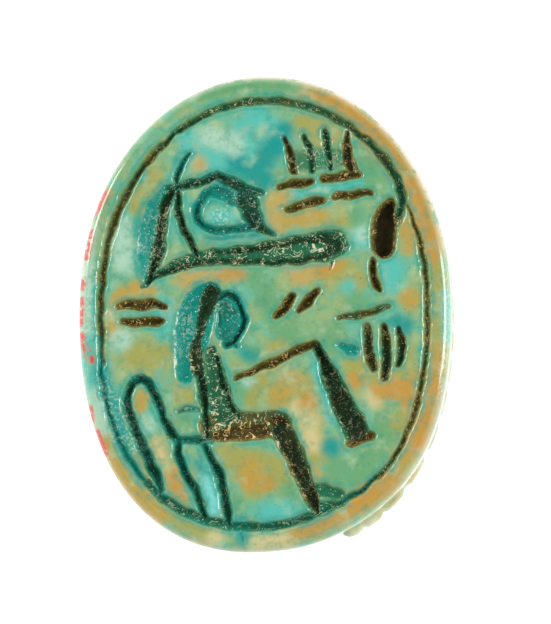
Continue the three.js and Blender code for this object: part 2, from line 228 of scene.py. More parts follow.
def smooth_line(points, between=4):
    """The points of a curve through the given rows of numbers."""
    rows = np.array(points, float)
    if len(rows) < 3:
        return rows
    ends = np.vstack([2 * rows[0] - rows[1], rows, 2 * rows[-1] - rows[-2]])
    t = np.linspace(0, 1, between, endpoint=False)[:, None]
    pieces = []
    for before, start, stop, after in zip(ends, ends[1:], ends[2:], ends[3:]):
        bend = 2 * before - 5 * start + 4 * stop - after
        twist = 3 * (start - stop) + after - before
        pieces.append(start + t * (stop - before) / 2 + t**2 * bend / 2 + t**3 * twist / 2)
    return np.vstack([*pieces, rows[-1:]])


def stroke_distance(x, y, points):
    """How far each place is outside a stroke whose points are (x, y, half width); inside is below 0.
    It also gives how far along the stroke the nearest point is, from 0 to 1."""
    line = smooth_line(points)
    nearest = np.full(x.shape, 1e3)
    along = np.zeros(x.shape)
    if len(line) == 1:
        line = np.repeat(line, 2, axis=0)
    count = len(line) - 1
    for index, ((x0, y0, w0), (x1, y1, w1)) in enumerate(zip(line, line[1:])):
        dx, dy = x1 - x0, y1 - y0
        t = np.clip(((x - x0) * dx + (y - y0) * dy) / max(dx * dx + dy * dy, 1e-12), 0, 1)
        gap = np.hypot(x - x0 - t * dx, y - y0 - t * dy) - (w0 + t * (w1 - w0))
        closer = gap < nearest
        nearest = np.where(closer, gap, nearest)
        along = np.where(closer, (index + t) / count, along)
    return nearest, along


# The head's outline in plan from the neck to the notched shovel, and its slope from the shovel's
# edge up to the thorax, as (reach, depth).
tip_y = half_length + head_over
head_plan = np.array(
    [
        (2.7, 4.4),
        (3.05, 5.9),
        (3.1, 6.45),
        (2.7, 6.95),
        (2.05, 7.15),
        (1.85, 7.6),
        (1.5, tip_y - 0.45),
        (1.42, tip_y - 0.12),
        (1.0, tip_y - 0.04),
        (0.85, tip_y - 0.24),
        (0.68, tip_y),
        (0.22, tip_y),
        (0, tip_y - 0.28),
    ]
)
head_slope = np.array(
    [(tip_y, 3.15), (tip_y, 3.5), (7.9, 3.8), (7.1, 4.1), (6.5, 4.45), (5.9, 4.7), (4.4, 5.5)]
)
chin_y = 7.35  # where the head meets the plinth, behind the shovel


def head_reach(angle, depth):
    """How far the head reaches at an angle in plan and a depth, or 0 beside it."""
    steps = np.linspace(0, len(head_plan) - 1, 400)
    places = np.arange(len(head_plan))
    x, y = (np.interp(steps, places, column) for column in head_plan.T)
    off_middle = np.abs(angle - math.pi / 2)
    side = np.interp(math.pi / 2 - off_middle, np.arctan2(y, x), np.hypot(x, y))
    front = np.interp(depth, head_slope[:, 1], head_slope[:, 0], right=0)
    front = np.where(depth < eaves_depth, chin_y, front)
    inside = off_middle < math.pi / 2 - math.atan2(head_plan[0][1], head_plan[0][0])
    return np.where(inside, np.minimum(side, front / np.maximum(np.sin(angle), 0.1)), 0)


# Each leg is a ridge with nicked hairs, in (degrees from +X, depth) along the flank.
legs = {
    "front": ([(34, 3.0), (44, 2.6), (56, 2.2), (66, 2.02)], 5),
    "middle": ([(20, 2.95), (8, 2.55), (-6, 2.12)], 4),
    "hind": ([(2, 3.0), (-16, 2.75), (-36, 2.35), (-56, 2.15), (-69, 2.1)], 9),
}
leg_inset, leg_out, leg_high = 0.47, 0.5, 0.44
leg_round = 7.2  # how far out the legs lie on average, which turns their angles into millimetres
nick_deep = 0.1


def leg_reach(angle, depth):
    """How far the legs stand out from the waist at an angle and a depth, or 0 between them."""
    folded = np.arctan2(np.sin(angle), np.abs(np.cos(angle)))
    stretch = plinth_reach(folded, leg_inset)
    reach = np.zeros(np.broadcast(angle, depth).shape)
    for stations, hairs in legs.values():
        route = [
            (math.radians(a) * leg_round, d, leg_high * (0.8 if i in (0, len(stations) - 1) else 1))
            for i, (a, d) in enumerate(stations)
        ]
        outside, along = stroke_distance(folded * leg_round + 0 * depth, depth + 0 * angle, route)
        crown = np.clip(-outside / leg_high, 0, 1)
        bulge = np.sqrt(np.clip(1 - (1 - crown) ** 2, 0, 1))
        comb = np.abs((along * 0.9 + 0.05) * hairs % 1 - 0.5) * 2
        nick = nick_deep * step_up(0.6, 0.95, comb) * step_up(0.1, 0.5, bulge)
        ridge = stretch + leg_out * (bulge - 0.08) - nick
        reach = np.where(outside < 0, np.maximum(reach, ridge), reach)
    return reach


# The rows of points from the seal face's edge down the flank to the lower shell, each with its
# reach and its depth at every angle.
face_columns, face_rows = 204, 268
face_share, face_angle, face_rim, face_squares = disc_grid(face_columns, face_rows, 0)
cap_share, cap_angle, cap_rim, cap_squares = disc_grid(face_columns // 2, face_rows // 2, 0.45)
upper_angle, lower_angle = face_angle[face_rim][::2], cap_angle[cap_rim]
turn_over = np.mod(lower_angle - upper_angle + math.pi, 2 * math.pi) - math.pi

flank = []


def flank_row(reach_of, depth):
    share = step_up(0.4, 3.4, depth)
    angle = upper_angle + turn_over * share
    flank.append((angle, reach_of(angle, depth), np.full(angle.shape, depth)))


def waist_reach(angle, depth):
    oval = oval_reach(angle, half_width - waist_inset, shell_head_reach - 0.4, half_length - waist_inset)
    return np.maximum(np.maximum(oval, head_reach(angle, depth)), leg_reach(angle, depth))


for turn in np.linspace(0, math.pi / 2, 8)[1:]:
    edge_inset = rim_round * (1 - math.sin(turn))
    flank_row(lambda angle, depth: edge_reach(angle, edge_inset), rim_round * (1 - math.cos(turn)))
for depth in np.linspace(rim_round, plinth_thickness - lower_round, 5)[1:]:
    flank_row(lambda angle, depth: edge_reach(angle, 0), depth)
for turn in np.linspace(0, math.pi / 2, 4)[1:]:
    edge_inset = lower_round * (1 - math.cos(turn))
    row_depth = plinth_thickness - lower_round * (1 - math.sin(turn))
    flank_row(lambda angle, depth: edge_reach(angle, edge_inset), row_depth)
for share in (0.5, 0.95):
    flank_row(
        lambda angle, depth: edge_reach(angle, lower_round) * (1 - share)
        + waist_reach(angle, depth) * share,
        plinth_thickness + 0.04 * share,
    )
waist_end = eaves_depth - 0.06
for depth in np.linspace(plinth_thickness + 0.1, waist_end, 15):
    flank_row(waist_reach, depth)


def shell_or_head(angle, rise):
    depth = eaves_depth + rise * shell_rise
    shell = np.maximum(shell_reach(angle, rise), head_reach(angle, depth))
    return np.maximum(shell, leg_reach(angle, depth))


for share in (0.5, 0.95):
    flank_row(
        lambda angle, depth: waist_reach(angle, waist_end) * (1 - share)
        + (shell_or_head(angle, 0.0) - 0.06) * share,
        eaves_depth - 0.03,
    )
cap_start = 0.5
for rise in cap_start * np.linspace(0.01, 1, 28) ** 1.25:
    flank_row(lambda angle, depth: shell_or_head(angle, rise), eaves_depth + rise * shell_rise)

# The upper shell, as a cap over the last row, with the small flat in its middle.
flat_middle = 0.3  # the flat's share of the way from the cap's middle to its rim
cap_rise = np.where(
    cap_share > flat_middle,
    cap_start + (flat_share - cap_start) * np.clip((1 - cap_share) / (1 - flat_middle), 0, 1) ** 0.6,
    flat_share,
)
cap_depth = eaves_depth + cap_rise * shell_rise
cap_reach = np.maximum(shell_reach(cap_angle, cap_rise), head_reach(cap_angle, cap_depth))
cap_reach = cap_reach * np.minimum(cap_share / flat_middle, 1)


def as_points(angle, reach, depth):
    return np.stack([reach * np.cos(angle), reach * np.sin(angle) + plinth_middle_y, height - depth], -1)


# The mesh is one closed skin: the face, the flank's rows and the cap, with half as many points
# round the flank as round the face.
face_reach = face_share * edge_reach(face_angle, rim_round)
face_points = as_points(face_angle, face_reach, np.zeros(face_reach.shape))
inner = np.setdiff1d(np.arange(cap_share.size), cap_rim)
flank_points = np.vstack([as_points(*row) for row in flank])
points = np.vstack([face_points, flank_points, as_points(cap_angle, cap_reach, cap_depth)[inner]])

ring = len(upper_angle)
rows = [len(face_points) + ring * i + np.arange(ring) for i in range(len(flank))]


def next_round(row):
    return np.roll(row, -1)


squares = [face_squares]
for upper, lower in zip(rows, rows[1:]):
    squares.append(np.stack([upper, lower, next_round(lower), next_round(upper)], -1))
cap_number = np.zeros(cap_share.size, int)
cap_number[cap_rim] = rows[-1]
cap_number[inner] = len(face_points) + len(flank_points) + np.arange(len(inner))
squares.append(cap_number[cap_squares][:, ::-1])
corners = face_rim[::2]
edge_fans = np.stack([corners, rows[0], next_round(rows[0]), next_round(corners), face_rim[1::2]], -1)

# ------------------------------------------------------------------ the seal face's engraving
# Cut with a pointed graver before glazing, so the walls slope, the floors are rough, and the glaze
# has rounded every shoulder. Places are (x, y, half width) in millimetres from the plinth's middle.

# Each group of strokes is (depth, wall width, how dark its floor is, how dusty, the strokes). The
# seated figure and its chair, and the crouching lion over it, are cut with slanting outer walls.
lion = [
    (0.34, 0.18, 0.85, 0.2, [
        [(-3.4, 4.42, 0.15), (-2.9, 4.52, 0.18), (-2.3, 4.63, 0.19), (-1.7, 4.83, 0.2), (-1.3, 4.72, 0.24),
         (-0.8, 4.42, 0.24), (-0.1, 4.25, 0.14)],
        [(-0.75, 4.3, 0.3), (-0.55, 3.85, 0.42), (-0.42, 3.45, 0.38), (-0.15, 3.05, 0.26), (0.4, 2.73, 0.08)],
    ]),
    (0.32, 0.17, 0.62, 0.1, [
        [(-2.25, 4.1, 0.1), (-2.38, 3.6, 0.16), (-2.15, 3.1, 0.17), (-1.5, 2.92, 0.17), (-0.8, 3.0, 0.18),
         (-0.3, 3.02, 0.16)],
    ]),
    (0.22, 0.28, 0.6, 0.1, [[(-2.25, 3.9, 0.2), (-1.95, 4.25, 0.26), (-1.45, 4.28, 0.3),
                             (-1.05, 3.95, 0.26)]]),
    (0.1, 0.2, 0.1, 0.0, [[(-2.0, 2.62, 0.12), (-1.0, 2.66, 0.16), (-0.1, 2.74, 0.14)]]),
    (0.22, 0.14, 0.7, 0.25, [[(-3.1, 4.6, 0.12), (-3.05, 5.0, 0.16), (-2.85, 5.4, 0.13),
                              (-2.6, 5.66, 0.07)]]),
    (0.26, 0.5, 0.35, 0.05, [[(-3.4, 4.35, 0.3), (-3.8, 3.6, 0.5), (-4.0, 2.8, 0.52), (-4.05, 2.0, 0.42),
                              (-4.18, 1.3, 0.16)]]),
    (0.42, 0.2, 0.85, 0.5, [
        [(-3.3, 4.35, 0.2), (-3.52, 3.8, 0.26), (-3.62, 3.1, 0.26), (-3.72, 2.4, 0.29), (-3.86, 1.8, 0.27),
         (-4.1, 1.15, 0.14)],
        [(-3.02, 4.3, 0.13), (-3.02, 3.7, 0.15), (-2.9, 3.15, 0.16), (-2.66, 2.7, 0.17), (-2.45, 2.3, 0.18),
         (-2.35, 2.0, 0.15)],
    ]),
    (0.25, 0.15, 0.58, 0.45, [[(-3.95, 1.3, 0.12), (-3.2, 1.68, 0.22), (-2.2, 1.95, 0.3), (-1.0, 2.02, 0.35),
                               (0.3, 2.12, 0.44), (1.5, 2.26, 0.54), (2.3, 2.38, 0.56), (2.5, 2.42, 0.5)]]),
    (0.4, 0.16, 0.88, 0.6, [
        [(-1.9, 2.15, 0.13), (-0.6, 2.25, 0.17), (0.5, 2.43, 0.18), (1.5, 2.58, 0.2), (2.2, 2.6, 0.28),
         (2.5, 2.35, 0.36)],
        [(-4.1, 1.2, 0.11), (-3.2, 1.6, 0.18), (-2.0, 1.85, 0.17), (-0.5, 1.83, 0.16), (0.6, 1.8, 0.16),
         (1.6, 1.9, 0.18), (2.4, 2.15, 0.24)],
    ]),
    (0.1, 0.16, 0.6, 0.4, [[(-4.3, 0.95, 0.12), (-4.15, 1.05, 0.14)], [(2.35, 1.5, 0.06),
                            (2.4, 1.75, 0.12)]]),
]

# The head is shown from the side, as such figures always are. Its face is a plain upright oval, with
# a small even nose half way down and a short beard under the chin.
face_middle = (-1.32, -0.2)
face_across, face_high, nose_out = 0.56, 0.88, 0.09


def on_oval(turn, out=1.0, half_cut=0.17):
    """A place on the face's oval, at an angle in degrees from straight ahead."""
    nose = nose_out * math.exp(-((turn / 14) ** 2))
    ahead = (face_across + nose) * out * math.cos(math.radians(turn))
    up = face_high * out * math.sin(math.radians(turn))
    return (face_middle[0] + ahead, face_middle[1] + up, half_cut)


face_line = [on_oval(turn) for turn in (125, 95, 65, 40, 20, 0, -20, -40, -65, -95)]
beard_line = [on_oval(-62, 1.0, 0.12), on_oval(-58, 1.3, 0.1)]
eye_line = [on_oval(40, 0.25, 0.05), on_oval(25, 0.5, 0.07)]
ear_line = [on_oval(150, 0.5, 0.09), on_oval(210, 0.5, 0.1)]
mouth_line = [on_oval(-48, 0.6, 0.03), on_oval(-38, 0.8, 0.05)]
seated_figure = [
    (0.28, 0.34, 0.46, 0.0, [[(-1.85, 0.8, 0.4), (-2.2, 0.4, 0.62), (-2.42, -0.3, 0.68), (-2.55, -1.1, 0.6),
                              (-2.68, -1.7, 0.48), (-2.74, -2.15, 0.36)]]),
    (0.43, 0.26, 0.92, 0.35, [[(-1.85, 0.75, 0.36), (-2.05, 0.2, 0.36), (-2.2, -0.3, 0.24),
                               (-2.35, -1.0, 0.2)]]),
    (0.43, 0.22, 0.85, 0.65, [[(-2.38, -0.9, 0.18), (-2.42, -1.5, 0.28), (-2.38, -2.0, 0.24)]]),
    (0.14, 0.3, 0.64, 0.1, [[on_oval(90, 0.55, 0.36), on_oval(0, 0.2, 0.44), on_oval(-90, 0.6, 0.38)]]),
    (0.32, 0.2, 0.82, 0.05, [face_line, beard_line]),
    (0.2, 0.12, 0.5, 0.1, [eye_line, ear_line, mouth_line]),
    (0.42, 0.17, 0.85, 0.55, [[(-2.3, -1.1, 0.18), (-2.3, -1.7, 0.26), (-2.18, -2.3, 0.21),
                               (-2.1, -3.0, 0.19),
                               (-2.03, -3.7, 0.19), (-1.98, -4.35, 0.2)]]),
    (0.2, 0.2, 0.66, 0.45, [[(-1.85, -1.35, 0.26), (-1.75, -2.2, 0.3), (-1.62, -2.9, 0.38),
                             (-1.4, -3.6, 0.46)]]),
    (0.36, 0.15, 0.85, 0.4, [[(-1.62, -1.55, 0.13), (-1.5, -2.1, 0.17), (-1.33, -2.7, 0.16),
                              (-1.12, -3.25, 0.16),
                              (-0.82, -3.75, 0.16)]]),
    (0.27, 0.16, 0.62, 0.7, [[(-1.85, -3.95, 0.46), (-0.8, -3.92, 0.48), (0.3, -3.9, 0.5),
                              (0.55, -3.93, 0.5)]]),
    (0.38, 0.16, 0.85, 0.9, [
        [(-1.7, -4.25, 0.24), (-0.8, -4.15, 0.34), (0.0, -4.1, 0.32)],
        [(0.4, -3.75, 0.28), (0.7, -3.95, 0.32)],
    ]),
    (0.43, 0.19, 0.92, 0.7, [[(0.6, -4.1, 0.42), (0.95, -4.7, 0.4), (1.2, -5.3, 0.35), (1.45, -5.9, 0.32),
                              (1.7, -6.5, 0.27), (1.88, -6.95, 0.16)]]),
    (0.22, 0.16, 0.42, 0.4, [[(1.75, -6.15, 0.25), (2.3, -6.25, 0.28), (2.7, -6.35, 0.22),
                              (2.85, -6.4, 0.12)],
                            [(1.95, -6.75, 0.2), (2.5, -6.62, 0.14)]]),
]

chair = [
    (0.4, 0.2, 0.64, 0.2, [
        [(-3.6, -6.15, 0.14), (-3.8, -5.65, 0.22), (-4.05, -5.1, 0.23), (-4.32, -4.5, 0.23),
         (-4.6, -3.85, 0.22),
         (-4.78, -3.3, 0.22), (-4.82, -2.85, 0.2), (-4.66, -2.5, 0.2), (-4.32, -2.28, 0.2),
         (-4.02, -2.45, 0.2),
         (-3.82, -2.85, 0.2), (-3.62, -3.35, 0.18), (-3.42, -3.85, 0.18), (-3.2, -4.25, 0.18),
         (-2.95, -4.45, 0.16)],
        [(-3.1, -4.45, 0.15), (-2.5, -4.42, 0.17), (-1.9, -4.42, 0.18)],
        [(-3.0, -4.55, 0.19), (-2.98, -5.05, 0.2), (-2.78, -5.55, 0.2), (-2.48, -6.0, 0.19),
         (-2.27, -6.5, 0.18),
         (-2.05, -7.1, 0.16)],
        [(-2.1, -4.6, 0.15), (-1.85, -5.05, 0.18), (-1.6, -5.5, 0.19), (-1.42, -6.1, 0.2), (-1.3, -6.8, 0.2),
         (-1.22, -7.35, 0.18)],
    ]),
    (0.17, 0.1, 0.55, 0.2, [[(-3.0, -3.42, 0.08), (-2.65, -3.36, 0.12), (-2.3, -3.35, 0.1)]]),
]

flail = [
    (0.32, 0.13, 0.8, 1.0, [[(-1.0, -2.28, 0.09), (-0.3, -1.98, 0.14), (0.5, -1.65, 0.16), (1.2, -1.3, 0.15),
                             (1.75, -1.08, 0.16)]]),
    (0.07, 0.4, 0.12, 0.0, [[(1.75, -1.5, 0.16), (2.05, -2.5, 0.25), (2.45, -3.6, 0.32), (2.75, -4.3, 0.3)]]),
    (0.48, 0.2, 0.92, 0.62, [[(1.82, -1.12, 0.16), (2.08, -1.6, 0.24), (2.38, -2.3, 0.34), (2.72, -3.1, 0.42),
                             (3.05, -3.75, 0.46), (3.28, -4.15, 0.46)]]),
    (0.42, 0.16, 0.85, 1.0, [[(3.05, -4.55, 0.16), (3.4, -4.45, 0.18), (3.72, -4.28, 0.16)]]),
]

# Rows of plain strokes where the real seal is written on.
stroke_rows = [
    (0.32, 0.15, 0.85, 0.8, [
        [(0.72, 6.15, 0.1), (0.92, 5.75, 0.16), (1.02, 5.2, 0.18), (1.06, 4.95, 0.14)],
        [(2.95, 6.3, 0.1), (2.92, 5.9, 0.18), (2.96, 5.4, 0.26), (3.1, 5.08, 0.22)],
    ]),
    (0.28, 0.15, 0.78, 0.5, [
        [(1.42, 6.22, 0.12), (1.6, 5.85, 0.17), (1.7, 5.3, 0.18), (1.7, 5.02, 0.14)],
        [(2.16, 6.38, 0.12), (2.22, 5.95, 0.18), (2.32, 5.4, 0.18), (2.36, 5.1, 0.14)],
    ]),
    (0.12, 0.3, 0.26, 0.6, [[(1.2, 5.35, 0.45), (2.0, 5.4, 0.5), (2.65, 5.42, 0.42)]]),
    (0.3, 0.14, 0.85, 0.9, [
        [(0.55, 4.46, 0.12), (1.1, 4.54, 0.18), (1.65, 4.62, 0.14)],
        [(2.1, 4.7, 0.14), (2.65, 4.78, 0.2), (3.35, 4.86, 0.14)],
    ]),
    (0.3, 0.13, 0.82, 1.0, [
        [(0.82, 3.64, 0.13), (1.5, 3.84, 0.18), (2.1, 3.97, 0.14)],
        [(2.48, 4.06, 0.14), (3.1, 4.15, 0.17), (3.75, 4.2, 0.1)],
    ]),
    (0.46, 0.17, 1.0, 0.9, [[(4.42, 3.8, 0.2), (4.28, 3.4, 0.4), (4.22, 2.8, 0.44), (4.2, 2.3, 0.42)]]),
    (0.34, 0.13, 0.85, 0.8, [[(3.84, 1.8, 0.14), (3.84, 1.4, 0.16), (3.96, 0.95, 0.13), (4.06, 0.75, 0.08)]]),
    (0.34, 0.15, 0.8, 1.0, [
        [(-5.1, 0.3, 0.14), (-4.5, 0.34, 0.2), (-3.95, 0.34, 0.2), (-3.5, 0.3, 0.14)],
        [(-4.95, -0.26, 0.14), (-4.3, -0.28, 0.19), (-3.6, -0.24, 0.14)],
        [(0.45, -0.12, 0.14), (0.76, 0.24, 0.2), (1.02, 0.62, 0.14)],
        [(1.25, 0.1, 0.14), (1.56, 0.42, 0.2), (1.84, 0.78, 0.14)],
    ]),
    (0.24, 0.13, 0.72, 0.7, [[(2.65, -0.2, 0.1), (3.3, -0.08, 0.15), (3.8, 0.0, 0.15), (4.35, 0.25, 0.11)]]),
    (0.34, 0.14, 0.82, 0.7, [
        [(3.62, -0.5, 0.12), (3.66, -0.95, 0.18), (3.72, -1.5, 0.2), (3.86, -2.0, 0.13)],
        [(4.2, -0.45, 0.12), (4.28, -1.0, 0.2), (4.3, -1.6, 0.22), (4.24, -2.3, 0.13)],
        [(4.74, -0.6, 0.1), (4.82, -1.0, 0.17), (4.8, -1.5, 0.15), (4.7, -1.85, 0.1)],
    ]),
    (0.15, 0.16, 0.42, 0.1, [[(2.7, -1.15, 0.16), (3.0, -1.28, 0.24), (3.2, -1.34, 0.2)]]),
]

# The border line was cut in sweeps that don't quite meet. Its places are (degrees, inset from the
# plinth's edge, half width).
border_sweeps = [
    (0.3, 0.4, 0.76, [(197, 0.82, 0.08), (180, 0.8, 0.15), (150, 0.77, 0.16), (120, 0.84, 0.16)]),
    (0.3, 0.56, 0.64, [(121, 0.84, 0.15), (90, 0.9, 0.16), (65, 0.8, 0.16), (50, 0.74, 0.18), (42, 0.82, 0.2),
                      (38, 1.02, 0.18), (34, 1.42, 0.16)]),
    (0.24, 0.62, 0.75, [(37, 0.84, 0.07), (20, 0.82, 0.12), (-10, 0.82, 0.12), (-35, 0.82, 0.13),
                        (-55, 0.93, 0.12)]),
    (0.28, 0.6, 0.25, [(-53, 0.94, 0.1), (-66, 1.12, 0.15), (-76, 1.13, 0.17), (-88, 0.96, 0.18),
                       (-105, 0.88, 0.19),
                       (-125, 0.76, 0.18)]),
    (0.22, 0.42, 0.0, [(-122, 0.76, 0.17), (-138, 0.7, 0.17), (-152, 0.68, 0.15), (-172, 0.74, 0.1)]),
]
border = []
for sweep_depth, darkness, dustiness, stations in border_sweeps:
    stations = smooth_line(stations)
    turn, inset = np.radians(stations[:, 0]), stations[:, 1]
    reach = plinth_reach(turn, inset)
    line = np.stack([reach * np.cos(turn), reach * np.sin(turn), stations[:, 2]], -1)
    border.append((sweep_depth, 0.17, darkness, dustiness, [line]))
rim_nick = [(0.1, 0.2, 0.5, 0.0, [[(-0.85, -7.55, 0.1), (-0.75, -7.9, 0.1), (-0.7, -8.2, 0.08)]])]
engraving = [*lion, *seated_figure, *chair, *flail, *stroke_rows, *border, *rim_nick]


def ripple(x, y, size, seed):
    """Uneven waves about that many millimetres long, mostly between -1 and 1."""
    waves = np.random.default_rng(seed)
    total = np.zeros(x.shape)
    for _ in range(7):
        heading, start = waves.uniform(0, 2 * math.pi, 2)
        length = size * waves.uniform(0.6, 1.5)
        total += np.sin((x * math.cos(heading) + y * math.sin(heading)) * 2 * math.pi / length + start)
    return total / 3.5


def carve(x, y):
    """At each place on the seal face: the engraving's depth, how far outside the nearest cut it is,
    and how dark and how dusty the cut is."""
    shaky_x = x + 0.035 * ripple(x, y, 0.7, 1) + 0.012 * ripple(x, y, 0.25, 2)
    shaky_y = y + 0.035 * ripple(x, y, 0.7, 3) + 0.012 * ripple(x, y, 0.25, 4)
    depth, shade, dusty = np.zeros((3, *x.shape))
    outside = np.full(x.shape, 9.0)
    for cut_depth, wall, darkness, dust, strokes in engraving:
        for stroke in strokes:
            gap, _ = stroke_distance(shaky_x, shaky_y, stroke)
            shadow = darkness * step_up(-0.05, 0.17, -gap)
            dusty = np.where(shadow > shade, dust, dusty)
            depth = np.maximum(depth, cut_depth * step_up(-0.06, wall, -gap))
            shade = np.maximum(shade, shadow)
            if cut_depth > 0.13:
                outside = np.minimum(outside, gap)
    return depth, outside, shade, dusty


# The face bulges a little, and dips and swells under the glaze.
face_x, face_y = face_points[:, 0], face_points[:, 1] - plinth_middle_y
face_cut = carve(face_x, face_y)[0]
bulge_fall = 0.06 * face_share**2
swell = 0.014 * (1.5 + ripple(face_x, face_y, 3.0, 11)) + 0.006 * (1.5 + ripple(face_x, face_y, 0.9, 12))
chatter = 0.03 * step_up(0.1, 0.3, face_cut) * ripple(face_x, face_y, 0.3, 13)
points[: len(face_points), 2] -= np.maximum(face_cut + bulge_fall + chatter, 0) + swell * (1 - face_share**6)

# ------------------------------------------------------------------ the beetle's back
# The lines between its parts, cut shallow with the same graver, then the bore for a cord or ring.

first_flank = len(face_points)
shell_lines = [
    (0.24, 0.26, [(x, 2.1 - 0.014 * x * x, 0.0) for x in np.linspace(-6.3, 6.3, 15)]),
    (0.16, 0.09, [(-0.17, 2.1, 0.0), (-0.17, -7.83, 0.0)]),
    (0.16, 0.09, [(0.17, 2.1, 0.0), (0.17, -7.83, 0.0)]),
]
for side in (-1, 1):
    shell_lines += [
        (0.15, 0.26, [(side * 2.65, 2.0, 0.0), (side * 3.5, 0.7, 0.0)]),
        (0.15, 0.26, [(side * 4.35, 1.85, 0.0), (side * 3.5, 0.7, 0.0)]),
        (0.16, 0.28, [(side * 2.3, 5.9, 0.0), (side * 1.05, 7.0, 0.0)]),
        (0.16, 0.26, [(side * 1.05, 7.0, 0.0), (side * 1.9, 7.55, 0.0)]),
    ]
shell_lines.append((0.16, 0.24, [(-1.05, 7.0, 0.0), (1.05, 7.0, 0.0)]))


def score(x, y, depth):
    """The depth of the shell's lines at each place, and the distance to the nearest."""
    scored = np.zeros(x.shape)
    beside = np.full(x.shape, 9.0)
    for line_depth, half, line in shell_lines:
        gap, _ = stroke_distance(x, y, line)
        scored = np.maximum(scored, line_depth * (1 - step_up(0, half, gap)))
        beside = np.minimum(beside, gap - half)
    return scored * step_up(3.1, 3.5, depth), beside + 9 * (depth < 3.1)


def split_squares(corner_rows, level):
    """Two triangles for each square, along its flatter diagonal, so that cuts have cleaner edges."""
    a, b, c, d = corner_rows.T
    straight = np.abs(level[a] - level[c]) <= np.abs(level[b] - level[d])
    one_way = np.stack([a, b, c, a, c, d], -1)
    other_way = np.stack([a, b, d, b, c, d], -1)
    return np.where(straight[:, None], one_way, other_way).reshape(-1, 3)


squares = np.vstack(squares)
skin = bpy.data.meshes.new("scarab_glaze")
skin.from_pydata(points / 1000, [], [*edge_fans.tolist(), *squares.tolist()])
outward = np.zeros(len(points) * 3)
skin.vertex_normals.foreach_get("vector", outward)
outward = outward.reshape(-1, 3)
back_x, back_y, back_z = points[first_flank:].T
scored, _ = score(back_x, back_y - plinth_middle_y, height - back_z)
points[first_flank:] -= outward[first_flank:] * scored[:, None]
triangles = split_squares(squares, np.concatenate([face_cut, scored]))
skin.clear_geometry()
skin.from_pydata(points / 1000, [], [*edge_fans.tolist(), *triangles.tolist()])
skin.update()
amulet = bpy.data.objects.new("scarab_glaze", skin)
scene.collection.objects.link(amulet)

bore_radius, bore_depth, drill_length = 0.72, 2.4, 0.02
bpy.ops.mesh.primitive_cylinder_add(
    vertices=48,
    radius=bore_radius / 1000,
    depth=drill_length,
    location=(0, 0, (height - bore_depth) / 1000),
    rotation=(math.pi / 2, 0, 0),
)
drill = bpy.context.object
drilling = amulet.modifiers.new("bore", "BOOLEAN")
drilling.operation = "DIFFERENCE"
drilling.object = drill
drilling.solver = "MANIFOLD"
drilled = bpy.data.meshes.new_from_object(amulet.evaluated_get(bpy.context.evaluated_depsgraph_get()))
amulet.modifiers.clear()
amulet.data = drilled
bpy.data.objects.remove(drill)
skin = amulet.data
skin.name = "scarab_glaze"
skin.shade_smooth()
